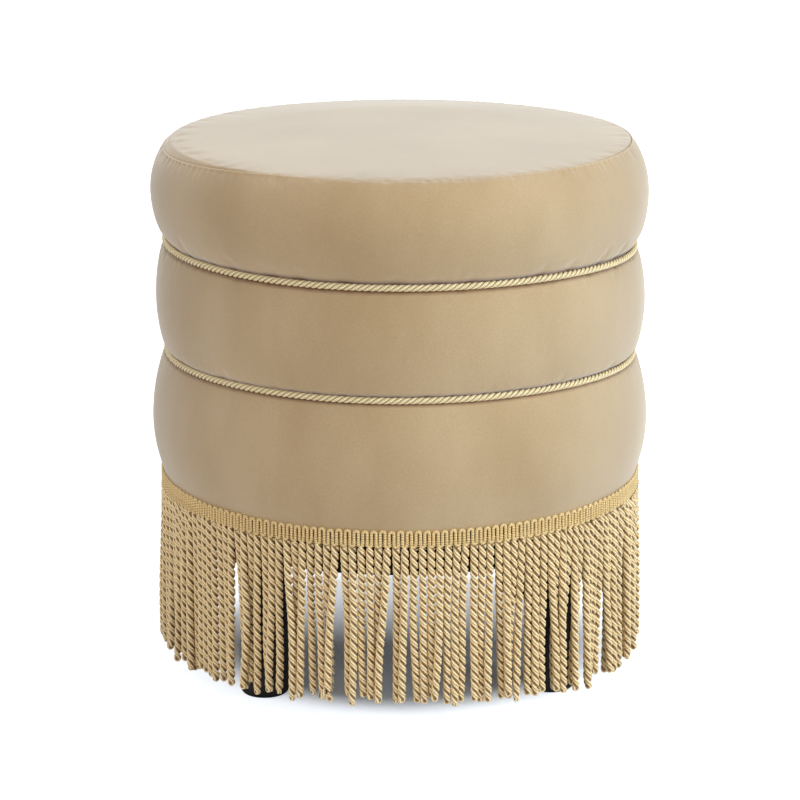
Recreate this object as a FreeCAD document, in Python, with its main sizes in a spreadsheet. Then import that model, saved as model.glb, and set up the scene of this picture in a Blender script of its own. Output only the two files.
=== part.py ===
# A round upholstered tuffet: a timber drum on four legs, padded with a seat pad and three foam
# rolls, covered in velvet, with a twisted cord in each groove and a bullion fringe round the foot.
# Millimetres. +Z is up, the origin is the middle of the floor under it, and the front is -Y.

import FreeCAD, Part
import math
import os

import Sketcher

# The driving sizes: name, value, what it is.
SIZES = [
    ("fit", 0.3, "clearance left between pieces that lie against each other"),
    ("base_height", 137.0, "floor to the underside of the base board"),
    ("base_thickness", 27.0, "thickness of the base board"),
    ("base_overhang", 5.0, "how far the base board stands out past the wall"),
    ("leg_radius", 22.0, "round leg"),
    ("leg_inset", 1.0, "outside of a leg in from the outside of the wall"),
    ("leg_chamfer", 3.0, "broken edge at the foot of the leg"),
    ("bolt_radius", 4.0, "hanger bolt that holds the leg"),
    ("bolt_in_leg", 42.0, "length of the bolt inside the leg"),
    ("tee_nut_flange_radius", 9.5, "flange of the tee nut"),
    ("tee_nut_flange", 1.6, "thickness of that flange"),
    ("tee_nut_barrel_radius", 5.4, "outside of the tee nut's barrel"),
    ("tee_nut_barrel", 17.0, "length of that barrel"),
    ("dust_cover_inset", 8.0, "edge of the dust cover to the edge of the base board"),
    ("dust_cover_thickness", 0.8, "cloth between the base board and the legs"),
    ("wall_radius", 208.0, "outside of the bent plywood wall"),
    ("wall_thickness", 4.0, "thickness of the wall"),
    ("deck_thickness", 15.0, "plywood under the seat pad"),
    ("post_width", 28.0, "square timber post"),
    ("post_inset", 4.0, "post to the inside of the wall"),
    ("post_count", 6, "posts round the frame"),
    ("hoop_thickness", 15.0, "plywood hoop behind each groove"),
    ("hoop_width", 52.0, "how far a hoop reaches inwards from the wall"),
    ("screw_radius", 2.5, "shank of a frame screw"),
    ("screw_head_radius", 4.8, "head of a frame screw"),
    ("screw_head_height", 3.0, "height of that head, sunk in its recess"),
    ("screw_in_post", 34.0, "length of the screw inside the post"),
    ("seat_foam_thickness", 50.0, "foam pad on the deck"),
    ("seam_set_out", 4.0, "seat seam past the wall"),
    ("seat_crown", 1.8, "how far the middle of the seat lies above its seam"),
    ("cover_thickness", 2.6, "velvet with its wadding"),
    ("upper_roll_height", 92.0, "upper cord to the middle of the seat"),
    ("upper_roll_belly", 46.0, "upper cord to the widest part above it"),
    ("upper_roll_bulge", 21.0, "widest part of the upper roll past the wall"),
    ("middle_roll_height", 100.5, "lower cord to the upper cord"),
    ("middle_roll_bulge", 18.5, "widest part of the middle roll past the wall"),
    ("lower_roll_height", 135.5, "top of the base board to the lower cord"),
    ("lower_roll_belly", 66.0, "top of the base board to the widest part"),
    ("lower_roll_bulge", 22.0, "widest part of the lower roll past the wall"),
    ("groove_lip", 11.5, "where a roll turns in to its groove, past the wall"),
    ("groove_slope", 24.5, "degrees that each side of a groove rises outwards"),
    ("cord_radius", 3.15, "twisted cord"),
    ("hem_set_out", 13.7, "side cover behind the fringe's header, past the wall"),
    ("header_height", 16.0, "woven header of the fringe"),
    ("header_thickness", 2.6, "thickness of the header"),
    ("rope_radius", 3.5, "bullion rope"),
    ("rope_length", 139.0, "hanging length of a rope"),
    ("rope_count", 180, "ropes round the fringe"),
]

doc = FreeCAD.newDocument("tuffet")
sheet = doc.addObject("Spreadsheet::Sheet", "Sizes")
for row, (name, value, meaning) in enumerate(SIZES, start=1):
    sheet.set("A%d" % row, name)
    sheet.set("B%d" % row, str(value))
    sheet.set("C%d" % row, meaning)
    sheet.setAlias("B%d" % row, name)
doc.recompute()

# Sizes that follow from the driving ones, each written once as an expression.
BASE_TOP = "(Sizes.base_height + Sizes.base_thickness)"
BASE_RADIUS = "(Sizes.wall_radius + Sizes.base_overhang)"
LEG_TOP = "(Sizes.base_height - Sizes.dust_cover_thickness)"
LOWER_CORD = "(%s + Sizes.lower_roll_height)" % BASE_TOP
UPPER_CORD = "(%s + Sizes.middle_roll_height)" % LOWER_CORD
SEAT_TOP = "(%s + Sizes.upper_roll_height)" % UPPER_CORD
SEAM_RADIUS = "(Sizes.wall_radius + Sizes.seam_set_out)"
SEAM_HEIGHT = "(%s - Sizes.seat_crown)" % SEAT_TOP
PANEL_UNDERSIDE = "(%s - Sizes.cover_thickness)" % SEAM_HEIGHT
FOAM_TOP = "(%s - Sizes.fit)" % PANEL_UNDERSIDE
DECK_TOP = "(%s - Sizes.seat_foam_thickness)" % FOAM_TOP
DECK_UNDERSIDE = "(%s - Sizes.deck_thickness)" % DECK_TOP
WALL_INSIDE = "(Sizes.wall_radius - Sizes.wall_thickness)"
POST_OUTSIDE = "(%s - Sizes.post_inset)" % WALL_INSIDE
POST_INSIDE = "(%s - Sizes.post_width)" % POST_OUTSIDE
PADDING_RADIUS = "(Sizes.wall_radius + Sizes.fit)"
COVER_EDGE = "(Sizes.wall_radius + 4 * Sizes.fit)"
LIP = "(Sizes.wall_radius + Sizes.groove_lip)"
LIP_RISE = "(Sizes.fit + (%s - %s) * tan(Sizes.groove_slope * 1 deg))" % (LIP, COVER_EDGE)
# A cord lies where it just clears both sides of its groove.
CORD_RING = ("(%s - Sizes.fit / tan(Sizes.groove_slope * 1 deg)"
             " + (Sizes.cord_radius + Sizes.fit) / sin(Sizes.groove_slope * 1 deg))" % COVER_EDGE)
HEM_RADIUS = "(Sizes.wall_radius + Sizes.hem_set_out)"
HEM_BOTTOM = "(%s + Sizes.fit)" % BASE_TOP
HEADER_BOTTOM = "(%s - Sizes.fit)" % HEM_BOTTOM
HEADER_TOP = "(%s + Sizes.header_height)" % HEADER_BOTTOM
HOLE_FIT = "Sizes.fit / 2"
LEG_OFFSET = "(Sizes.wall_radius - Sizes.leg_inset - Sizes.leg_radius) * sin(45 deg)"
LEG_PLACE = (LEG_OFFSET, LEG_OFFSET)
SCREW_PLACE = ("(%s + %s) / 2" % (POST_INSIDE, POST_OUTSIDE), "0")
# Flats on the plain solids that stand for round bars. What stands in four places, a quarter turn
# apart, has eight, so that each copy matches its hole.
ROPE_SIDES = 6
SCREW_SIDES = 6
BOLT_SIDES = 8
CORDS = {"upper": UPPER_CORD, "lower": LOWER_CORD}
# The widest radius of each roll, and the height where it is.
ROLLS = {
    "upper": ("(Sizes.wall_radius + Sizes.upper_roll_bulge)",
              "(%s + Sizes.upper_roll_belly)" % UPPER_CORD),
    "middle": ("(Sizes.wall_radius + Sizes.middle_roll_bulge)",
               "((%s + %s) / 2)" % (UPPER_CORD, LOWER_CORD)),
    "lower": ("(Sizes.wall_radius + Sizes.lower_roll_bulge)",
              "(%s + Sizes.lower_roll_belly)" % BASE_TOP),
}

sub_parts = []


def value_of(expression):
    """The number that an expression comes to with the sizes in the sheet."""
    return float(sheet.evalExpression(str(expression)))


def origin_feature(body, role):
    """The origin plane or axis of a body, found by its role."""
    return next(feature for feature in body.Origin.OriginFeatures if feature.Role == role)


def new_body(label):
    """A body that becomes the node of that name."""
    body = doc.addObject("PartDesign::Body", label)
    body.Label = label
    sub_parts.append(body)
    return body


def new_sketch(body, name, plane="XY_Plane", lift=None):
    """A sketch on one of the body's origin planes, lifted along that plane's normal."""
    sketch = body.newObject("Sketcher::SketchObject", name)
    sketch.AttachmentSupport = (origin_feature(body, plane), [""])
    sketch.MapMode = "FlatFace"
    if lift is not None:
        sketch.setExpression("AttachmentOffset.Base.z", lift)
    return sketch


def bind(sketch, constraint, name, expression):
    """Adds a sketch constraint whose size is worked out from the sheet."""
    index = sketch.addConstraint(constraint)
    sketch.renameConstraint(index, name)
    sketch.setExpression("Constraints.%s" % name, str(expression))


def arc_through(start, end, radius):
    """An arc of a given radius that turns anticlockwise from start to end."""
    chord = end - start
    outward = FreeCAD.Vector(chord.y, -chord.x, 0).normalize()
    half_chord = chord.Length / 2
    sagitta = radius - math.sqrt(radius * radius - half_chord * half_chord)
    return Part.Arc(start, (start + end) * 0.5 + outward * sagitta, end)


def draw_outline(sketch, outline):
    """Draws a closed outline, anticlockwise. Each corner is a radius, a height and the radius of
    the arc that leads on to the next corner, or None for a straight line."""
    corners = [FreeCAD.Vector(value_of(radius), value_of(height), 0)
               for radius, height, _ in outline]
    count = len(corners)
    for index, (_, _, arc_radius) in enumerate(outline):
        start = corners[index]
        end = corners[(index + 1) % count]
        if arc_radius is None:
            sketch.addGeometry(Part.LineSegment(start, end), False)
        else:
            sketch.addGeometry(arc_through(start, end, value_of(arc_radius)), False)
    for index in range(count):
        joint = Sketcher.Constraint("Coincident", index, 2, (index + 1) % count, 1)
        sketch.addConstraint(joint)
    for index, (radius, height, arc_radius) in enumerate(outline):
        across = Sketcher.Constraint("DistanceX", -1, 1, index, 1, corners[index].x)
        upwards = Sketcher.Constraint("DistanceY", -1, 1, index, 1, corners[index].y)
        bind(sketch, across, "radius_%d" % index, radius)
        bind(sketch, upwards, "height_%d" % index, height)
        if arc_radius is not None:
            curve = Sketcher.Constraint("Radius", index, value_of(arc_radius))
            bind(sketch, curve, "arc_%d" % index, arc_radius)


def turn_round(body, name, sketch):
    """Turns a sketch about the middle axis."""
    feature = body.newObject("PartDesign::Revolution", name)
    feature.Profile = sketch
    feature.ReferenceAxis = (sketch, ["V_Axis"])
    feature.Angle = 360


def turned_body(label, outline):
    """A ring or disc made by turning an outline about the middle axis."""
    body = new_body(label)
    sketch = new_sketch(body, label + "_section", "XZ_Plane")
    draw_outline(sketch, outline)
    turn_round(body, label + "_turn", sketch)


def draw_circle(sketch, radius, across="0", along="0"):
    """Adds a circle whose middle and radius are worked out from the sheet."""
    middle = FreeCAD.Vector(value_of(across), value_of(along), 0)
    circle = Part.Circle(middle, FreeCAD.Vector(0, 0, 1), value_of(radius))
    index = sketch.addGeometry(circle, False)
    bind(sketch, Sketcher.Constraint("Radius", index, value_of(radius)),
         "radius_%d" % index, radius)
    bind(sketch, Sketcher.Constraint("DistanceX", -1, 1, index, 3, middle.x),
         "across_%d" % index, across)
    bind(sketch, Sketcher.Constraint("DistanceY", -1, 1, index, 3, middle.y),
         "along_%d" % index, along)


def draw_box(sketch, low_x, high_x, half_width):
    """Adds a rectangle that lies evenly about the X axis."""
    left = value_of(low_x)
    right = value_of(high_x)
    half = value_of(half_width)
    corners = [(left, -half), (right, -half), (right, half), (left, half)]
    points = [FreeCAD.Vector(x, y, 0) for x, y in corners]
    for index in range(4):
        sketch.addGeometry(Part.LineSegment(points[index], points[(index + 1) % 4]), False)
    for index in range(4):
        sketch.addConstraint(Sketcher.Constraint("Coincident", index, 2, (index + 1) % 4, 1))
    places = [low_x, high_x, high_x, low_x]
    sides = ["-(%s)" % half_width, "-(%s)" % half_width, half_width, half_width]
    for index in range(4):
        bind(sketch, Sketcher.Constraint("DistanceX", -1, 1, index, 1, corners[index][0]),
             "x_%d" % index, places[index])
        bind(sketch, Sketcher.Constraint("DistanceY", -1, 1, index, 1, corners[index][1]),
             "y_%d" % index, sides[index])


def pad(body, name, sketch, height):
    """Raises a sketch into a solid of the given height."""
    feature = body.newObject("PartDesign::Pad", name)
    feature.Profile = sketch
    feature.setExpression("Length", height)
    return feature


def pocket_up(body, name, sketch, depth):
    """Cuts a sketch upwards into the body, to the given depth."""
    feature = body.newObject("PartDesign::Pocket", name)
    feature.Profile = sketch
    feature.Reversed = True
    feature.setExpression("Length", depth)
    return feature


def repeat_round(body, name, features, count):
    """Repeats features round the middle axis."""
    pattern = body.newObject("PartDesign::PolarPattern", name)
    pattern.Originals = features
    pattern.Axis = (origin_feature(body, "Z_Axis"), [""])
    pattern.Angle = 360
    pattern.setExpression("Occurrences", count)
    body.Tip = pattern
    return pattern


def disc(label, radius, bottom, thickness):
    """A flat round board or pad."""
    body = new_body(label)
    sketch = new_sketch(body, label + "_outline", lift=bottom)
    draw_circle(sketch, radius)
    pad(body, label + "_pad", sketch, thickness)
    return body


def draw_polygon(sketch, sides, radius, across, along):
    """An even many-sided section for ropes and fixings, with a corner pointing along X."""
    corners = []
    for corner in range(sides):
        turn = "%g deg" % (360 * corner / sides)
        corners.append(("%s + (%s) * cos(%s)" % (across, radius, turn),
                        "%s + (%s) * sin(%s)" % (along, radius, turn), None))
    draw_outline(sketch, corners)


def straight_bar(body, name, sides, radius, bottom, length, place):
    """A many-sided bar that stands at one place."""
    sketch = new_sketch(body, name + "_section", lift=bottom)
    draw_polygon(sketch, sides, radius, *place)
    return pad(body, name, sketch, length)


def straight_hole(body, name, sides, radius, bottom, depth, place):
    """A many-sided hole, cut upwards from a height."""
    sketch = new_sketch(body, name + "_section", lift=bottom)
    draw_polygon(sketch, sides, radius, *place)
    return pocket_up(body, name, sketch, depth)


def meeting_arc(wide_radius, wide_height, edge_radius, edge_height):
    """The radius of an arc that stands upright at the widest part and ends at the edge."""
    step = "(%s - %s)" % (wide_radius, edge_radius)
    rise = "(%s - %s)" % (wide_height, edge_height)
    return "(%s^2 + %s^2) / (2 * %s)" % (step, rise, step)


def make_base():
    """The black base board, with holes for its fixings, and the cloth under it."""
    board = disc("base_board", BASE_RADIUS, "Sizes.base_height", "Sizes.base_thickness")
    bore = straight_hole(board, "tee_nut_hole", BOLT_SIDES,
                         "Sizes.tee_nut_barrel_radius + " + HOLE_FIT,
                        "Sizes.base_height", "Sizes.base_thickness", LEG_PLACE)
    repeat_round(board, "tee_nut_holes", [bore], "4")
    bore = straight_hole(board, "screw_hole", SCREW_SIDES,
                         "Sizes.screw_radius + " + HOLE_FIT,
                        "Sizes.base_height", "Sizes.base_thickness", SCREW_PLACE)
    recess = straight_hole(board, "screw_recess", SCREW_SIDES,
                           "Sizes.screw_head_radius + " + HOLE_FIT,
                          "Sizes.base_height", "Sizes.screw_head_height", SCREW_PLACE)
    repeat_round(board, "screw_holes", [bore, recess], "Sizes.post_count")
    cloth = disc("dust_cover", "%s - Sizes.dust_cover_inset" % BASE_RADIUS, LEG_TOP,
                 "Sizes.dust_cover_thickness")
    bore = straight_hole(cloth, "bolt_opening", BOLT_SIDES,
                         "Sizes.bolt_radius + " + HOLE_FIT, LEG_TOP,
                        "Sizes.dust_cover_thickness", LEG_PLACE)
    repeat_round(cloth, "bolt_openings", [bore], "4")


def make_leg(label, place):
    """A round leg with a broken edge at its foot, drilled for its bolt."""
    body = new_body(label)
    sketch = new_sketch(body, label + "_section")
    draw_circle(sketch, "Sizes.leg_radius", *place)
    turning = pad(body, label + "_pad", sketch, LEG_TOP)
    doc.recompute()
    foot = [index for index, edge in enumerate(turning.Shape.Edges, start=1)
            if edge.BoundBox.ZMax < 0.001]
    broken_edge = body.newObject("PartDesign::Chamfer", label + "_foot")
    broken_edge.Base = (turning, ["Edge%d" % index for index in foot])
    broken_edge.setExpression("Size", "Sizes.leg_chamfer")
    depth = "Sizes.bolt_in_leg + Sizes.fit"
    straight_hole(body, label + "_hole", BOLT_SIDES, "Sizes.bolt_radius + " + HOLE_FIT,
                 "%s - (%s)" % (LEG_TOP, depth), depth, place)


def make_legs():
    """Four legs, and the bolts and tee nuts that hold them."""
    for depth, along in (("front", "-" + LEG_OFFSET), ("rear", LEG_OFFSET)):
        for side, across in (("left", "-" + LEG_OFFSET), ("right", LEG_OFFSET)):
            make_leg("leg_%s_%s" % (depth, side), (across, along))
    bolts = new_body("leg_bolts")
    bottom = "%s - Sizes.bolt_in_leg" % LEG_TOP
    length = "%s + Sizes.tee_nut_flange - (%s)" % (BASE_TOP, bottom)
    bolt = straight_bar(bolts, "bolt", BOLT_SIDES, "Sizes.bolt_radius", bottom, length, LEG_PLACE)
    repeat_round(bolts, "bolts", [bolt], "4")
    nuts = new_body("leg_tee_nuts")
    bottom = "%s - Sizes.tee_nut_barrel" % BASE_TOP
    length = "Sizes.tee_nut_barrel + Sizes.tee_nut_flange"
    barrel = straight_bar(nuts, "barrel", BOLT_SIDES, "Sizes.tee_nut_barrel_radius", bottom, length,
                         LEG_PLACE)
    flange = straight_bar(nuts, "flange", BOLT_SIDES, "Sizes.tee_nut_flange_radius", BASE_TOP,
                         "Sizes.tee_nut_flange", LEG_PLACE)
    thread = straight_hole(nuts, "thread", BOLT_SIDES, "Sizes.bolt_radius + " + HOLE_FIT, bottom, length,
                          LEG_PLACE)
    repeat_round(nuts, "tee_nuts", [barrel, flange, thread], "4")


def make_hoop(cord):
    """A plywood hoop behind a groove, notched for the posts."""
    label = cord + "_hoop"
    body = new_body(label)
    bottom = "%s - Sizes.hoop_thickness / 2" % CORDS[cord]
    sketch = new_sketch(body, label + "_ring", lift=bottom)
    draw_circle(sketch, "%s - Sizes.fit" % WALL_INSIDE)
    draw_circle(sketch, "%s - Sizes.hoop_width" % WALL_INSIDE)
    pad(body, label + "_pad", sketch, "Sizes.hoop_thickness")
    notch = new_sketch(body, label + "_notch", lift=bottom)
    draw_box(notch, "%s - Sizes.fit" % POST_INSIDE, "Sizes.wall_radius",
             "Sizes.post_width / 2 + Sizes.fit")
    cut = pocket_up(body, label + "_notch_cut", notch, "Sizes.hoop_thickness")
    repeat_round(body, label + "_notches", [cut], "Sizes.post_count")


def make_post(label, turn):
    """A square post from the base board to the deck, drilled at both ends."""
    body = new_body(label)
    sketch = new_sketch(body, label + "_section", lift=BASE_TOP)
    draw_box(sketch, POST_INSIDE, POST_OUTSIDE, "Sizes.post_width / 2")
    pad(body, label + "_pad", sketch, "%s - %s" % (DECK_UNDERSIDE, BASE_TOP))
    depth = "Sizes.screw_in_post + Sizes.fit"
    radius = "Sizes.screw_radius + " + HOLE_FIT
    straight_hole(body, label + "_lower_hole", SCREW_SIDES, radius, BASE_TOP, depth, SCREW_PLACE)
    straight_hole(body, label + "_upper_hole", SCREW_SIDES, radius,
                 "%s - (%s)" % (DECK_UNDERSIDE, depth), depth, SCREW_PLACE)
    body.setExpression("Placement.Rotation.Angle", turn)


def make_screws(label, outer_face, inner_face, upwards):
    """Screws through a board into the ends of the posts, with their heads sunk in it."""
    body = new_body(label)
    if upwards:
        bottom = outer_face
        head_bottom = outer_face
        length = "%s - %s + Sizes.screw_in_post" % (inner_face, outer_face)
    else:
        bottom = "%s - Sizes.screw_in_post" % inner_face
        head_bottom = "%s - Sizes.screw_head_height" % outer_face
        length = "%s - %s + Sizes.screw_in_post" % (outer_face, inner_face)
    shank = straight_bar(body, label + "_shank", SCREW_SIDES, "Sizes.screw_radius", bottom, length,
                        SCREW_PLACE)
    head = straight_bar(body, label + "_head", SCREW_SIDES, "Sizes.screw_head_radius", head_bottom,
                       "Sizes.screw_head_height", SCREW_PLACE)
    repeat_round(body, label + "_round", [shank, head], "Sizes.post_count")


def make_frame():
    """The bent wall, its hoops and posts, the deck on top, and the frame's screws."""
    turned_body("drum_wall", [
        (WALL_INSIDE, BASE_TOP, None),
        ("Sizes.wall_radius", BASE_TOP, None),
        ("Sizes.wall_radius", DECK_UNDERSIDE, None),
        (WALL_INSIDE, DECK_UNDERSIDE, None),
    ])
    for cord in CORDS:
        make_hoop(cord)
    for post in range(int(value_of("Sizes.post_count"))):
        make_post("frame_post_%d" % (post + 1), "%d * 360 deg / Sizes.post_count" % post)
    deck = disc("seat_deck", "Sizes.wall_radius", DECK_UNDERSIDE, "Sizes.deck_thickness")
    bore = straight_hole(deck, "deck_hole", SCREW_SIDES, "Sizes.screw_radius + " + HOLE_FIT,
                        DECK_UNDERSIDE, "Sizes.deck_thickness", SCREW_PLACE)
    recess = straight_hole(deck, "deck_recess", SCREW_SIDES, "Sizes.screw_head_radius + " + HOLE_FIT,
                          "%s - Sizes.screw_head_height" % DECK_TOP,
                          "Sizes.screw_head_height", SCREW_PLACE)
    repeat_round(deck, "deck_holes", [bore, recess], "Sizes.post_count")
    make_screws("deck_screws", DECK_TOP, DECK_UNDERSIDE, upwards=False)
    make_screws("base_screws", "Sizes.base_height", BASE_TOP, upwards=True)


def groove_edge(cord, sign, reach="0"):
    """The height of a cover's edge in a groove, above it or below it, and a reach further."""
    return "%s %s (Sizes.fit + %s)" % (CORDS[cord], sign, reach)


def cover_inside(roll, gap="0"):
    """The widest point of a cover's inner face, or of what lies a gap inside that."""
    radius, height = ROLLS[roll]
    return "%s - Sizes.cover_thickness - %s" % (radius, gap), height


def band_over_cord(roll, cord):
    """Corners of a band's outer face from the groove below it up to its widest part."""
    radius, height = ROLLS[roll]
    lip_height = "(%s + %s)" % (CORDS[cord], LIP_RISE)
    return [(COVER_EDGE, groove_edge(cord, "+"), None),
            (LIP, lip_height, meeting_arc(radius, height, LIP, lip_height))]


def band_under_cord(roll, cord):
    """Corners of a band from its widest part up to the groove above it, and back inside."""
    radius, height = ROLLS[roll]
    lip_height = "(%s - %s)" % (CORDS[cord], LIP_RISE)
    return [(radius, height, meeting_arc(radius, height, LIP, lip_height)),
            (LIP, lip_height, None),
            (COVER_EDGE, groove_edge(cord, "-"), None),
            (COVER_EDGE, groove_edge(cord, "-", "Sizes.cover_thickness"), None)]


def make_side_covers():
    """The three velvet bands between the seat's seam and the hem."""
    radius, height = ROLLS["upper"]
    seam = "(%s + Sizes.fit)" % SEAM_RADIUS
    edge_inside = (COVER_EDGE, groove_edge("upper", "+", "Sizes.cover_thickness"), None)
    turned_body("cover_upper_band", band_over_cord("upper", "upper") + [
        (radius, height, meeting_arc(radius, height, seam, SEAM_HEIGHT)),
        (seam, SEAM_HEIGHT, None),
        (seam, PANEL_UNDERSIDE, None),
        cover_inside("upper") + (None,),
        edge_inside,
    ])
    edge_inside = (COVER_EDGE, groove_edge("lower", "+", "Sizes.cover_thickness"), None)
    outline = band_over_cord("middle", "lower") + band_under_cord("middle", "upper")
    turned_body("cover_middle_band", outline + [cover_inside("middle") + (None,), edge_inside])
    radius, height = ROLLS["lower"]
    hem_inside = "%s - Sizes.cover_thickness" % HEM_RADIUS
    hem_return = "%s + Sizes.cover_thickness" % HEM_BOTTOM
    outline = [
        (COVER_EDGE, HEM_BOTTOM, None),
        (HEM_RADIUS, HEM_BOTTOM, None),
        (HEM_RADIUS, HEADER_TOP, meeting_arc(radius, height, HEM_RADIUS, HEADER_TOP)),
    ] + band_under_cord("lower", "lower")
    turned_body("cover_lower_band", outline + [
        cover_inside("lower") + (None,),
        (hem_inside, HEADER_TOP, None),
        (hem_inside, hem_return, None),
        (COVER_EDGE, hem_return, None),
    ])


def make_top_panel():
    """The round velvet panel of the seat, slightly crowned."""
    crown = "(%s^2 + Sizes.seat_crown^2) / (2 * Sizes.seat_crown)" % SEAM_RADIUS
    turned_body("cover_top_panel", [
        ("0", PANEL_UNDERSIDE, None),
        (SEAM_RADIUS, PANEL_UNDERSIDE, None),
        (SEAM_RADIUS, SEAM_HEIGHT, crown),
        ("0", SEAT_TOP, None),
    ])


def make_padding():
    """The seat pad, and a ring of foam inside each velvet band."""
    disc("seat_foam", "Sizes.wall_radius", DECK_TOP, "Sizes.seat_foam_thickness")
    gap = "2 * Sizes.fit"
    reach = "Sizes.cover_thickness + " + gap
    turned_body("upper_roll_foam", [
        (PADDING_RADIUS, groove_edge("upper", "+", reach), None),
        cover_inside("upper", gap) + (None,),
        ("%s - Sizes.fit" % SEAM_RADIUS, FOAM_TOP, None),
        (PADDING_RADIUS, FOAM_TOP, None),
    ])
    turned_body("middle_roll_foam", [
        (PADDING_RADIUS, groove_edge("lower", "+", reach), None),
        cover_inside("middle", gap) + (None,),
        (PADDING_RADIUS, groove_edge("upper", "-", reach), None),
    ])
    hem = "%s - Sizes.cover_thickness - Sizes.fit" % HEM_RADIUS
    bottom = "%s + Sizes.cover_thickness + Sizes.fit" % HEM_BOTTOM
    turned_body("lower_roll_foam", [
        (PADDING_RADIUS, bottom, None),
        (hem, bottom, None),
        (hem, HEADER_TOP, None),
        cover_inside("lower", gap) + (None,),
        (PADDING_RADIUS, groove_edge("lower", "-", reach), None),
    ])


def make_cords():
    """The two twisted cords in their grooves, as plain six-sided rings."""
    for cord, height in CORDS.items():
        body = new_body(cord + "_cord")
        sketch = new_sketch(body, cord + "_cord_section", "XZ_Plane")
        draw_polygon(sketch, ROPE_SIDES, "Sizes.cord_radius", CORD_RING, height)
        turn_round(body, cord + "_cord_turn", sketch)


def make_fringe():
    """The woven header on the hem, and the ropes that hang from it."""
    inner = "(%s + Sizes.fit)" % HEM_RADIUS
    outer = "(%s + Sizes.header_thickness)" % inner
    turned_body("fringe_header", [
        (inner, HEADER_BOTTOM, None),
        (outer, HEADER_BOTTOM, None),
        (outer, HEADER_TOP, None),
        (inner, HEADER_TOP, None),
    ])
    ropes = new_body("fringe_ropes")
    rope = straight_bar(ropes, "rope", ROPE_SIDES, "Sizes.rope_radius",
                       "%s - Sizes.rope_length" % HEADER_BOTTOM, "Sizes.rope_length",
                       (HEM_RADIUS, "0"))
    repeat_round(ropes, "ropes", [rope], "Sizes.rope_count")


def check_and_write():
    """Stops on anything that failed, then writes each sub-part to its own file."""
    doc.recompute()
    for item in doc.Objects:
        if "Invalid" in item.State or "Error" in item.State:
            raise RuntimeError("%s failed: %s" % (item.Label, item.State))
    for body in sub_parts:
        if body.Shape.isNull() or not body.Shape.isValid():
            raise RuntimeError("%s has no valid shape" % body.Label)
    os.makedirs("parts", exist_ok=True)
    for body in sub_parts:
        body.Shape.exportStep("parts/%s.step" % body.Label)
        print("%-20s solids %3d  volume %.1f cm3" % (body.Label, len(body.Shape.Solids),
                                                      body.Shape.Volume / 1000))


make_base()
make_legs()
make_frame()
make_padding()
make_side_covers()
make_top_panel()
make_cords()
make_fringe()
check_and_write()
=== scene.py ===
import math

import bpy
import numpy as np
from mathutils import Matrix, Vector


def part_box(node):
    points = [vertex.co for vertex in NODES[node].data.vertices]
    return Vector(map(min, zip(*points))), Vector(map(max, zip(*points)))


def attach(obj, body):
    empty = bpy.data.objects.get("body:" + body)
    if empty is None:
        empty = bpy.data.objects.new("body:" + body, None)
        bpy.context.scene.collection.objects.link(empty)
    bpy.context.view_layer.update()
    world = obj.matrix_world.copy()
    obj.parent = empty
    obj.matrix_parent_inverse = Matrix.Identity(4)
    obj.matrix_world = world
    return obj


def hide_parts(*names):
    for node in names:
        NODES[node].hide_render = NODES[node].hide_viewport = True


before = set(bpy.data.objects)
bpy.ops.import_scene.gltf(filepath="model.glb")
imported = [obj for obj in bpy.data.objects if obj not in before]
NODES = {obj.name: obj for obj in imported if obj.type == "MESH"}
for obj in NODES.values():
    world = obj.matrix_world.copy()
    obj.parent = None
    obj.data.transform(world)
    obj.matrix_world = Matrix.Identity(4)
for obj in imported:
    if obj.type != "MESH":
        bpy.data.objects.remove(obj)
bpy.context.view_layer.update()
SCENE = bpy.context.scene
TAU = 2 * math.pi
MM = 0.001
UP = np.array([0.0, 0.0, 1.0])
LEVEL = np.array([1.0, 1.0, 0.0])
RANDOM = np.random.default_rng(46)


# Sizes read from the frame.
def outer_radius(node):
    """The widest radius of a round node."""
    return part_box(node)[1][0]


def lowest(node):
    """The height of a node's underside."""
    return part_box(node)[0][2]


def highest(node):
    """The height of a node's top."""
    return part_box(node)[1][2]


def middle_height(node):
    """The height of a node's middle."""
    return (lowest(node) + highest(node)) / 2


SEAT_TOP = highest("cover_top_panel")
SEAM_RADIUS = outer_radius("cover_top_panel")
SEAT_CROWN = 1.8 * MM
SEAM_HEIGHT = SEAT_TOP - SEAT_CROWN
UPPER_CORD = middle_height("upper_cord")
LOWER_CORD = middle_height("lower_cord")
CORD_RADIUS = 3.15 * MM
CORD_RING = outer_radius("upper_cord") - CORD_RADIUS
HEADER_OUTSIDE = outer_radius("fringe_header")
HEADER_LIFT = 1.6 * MM
HEADER_BOTTOM = lowest("fringe_header") + HEADER_LIFT
HEADER_TOP = highest("fringe_header") + HEADER_LIFT
ROPE_TIP = lowest("fringe_ropes")
ROPE_REACH = 3.5 * MM
ROPE_RING = outer_radius("fringe_ropes") - ROPE_REACH
HEM_RADIUS = ROPE_RING
ROPE_COUNT = 180
ROPE_STEP = TAU / ROPE_COUNT

# Sizes that only the dressed part needs.
COVER_THICKNESS = 2.6 * MM
LIP_RADIUS = 219.5 * MM
LIP_RISE = 5 * MM
GROOVE_RADIUS = 212.6 * MM
UPPER_BELLY = (outer_radius("cover_upper_band"), 446 * MM)
MIDDLE_BELLY = (outer_radius("cover_middle_band"), middle_height("cover_middle_band"))
LOWER_BELLY = (outer_radius("cover_lower_band"), 230 * MM)
COLUMNS = 480
BAND_ROWS = 40


# Meshes.
def angles_round(count):
    """Angles of a number of equal steps once round."""
    return TAU * np.arange(count) / count


def ring_point(radius, angle, height):
    """Points round the axis, from arrays that fit together."""
    radius, angle, height = np.broadcast_arrays(radius, angle, height)
    return np.stack([radius * np.cos(angle), radius * np.sin(angle), height], axis=-1)


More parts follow.
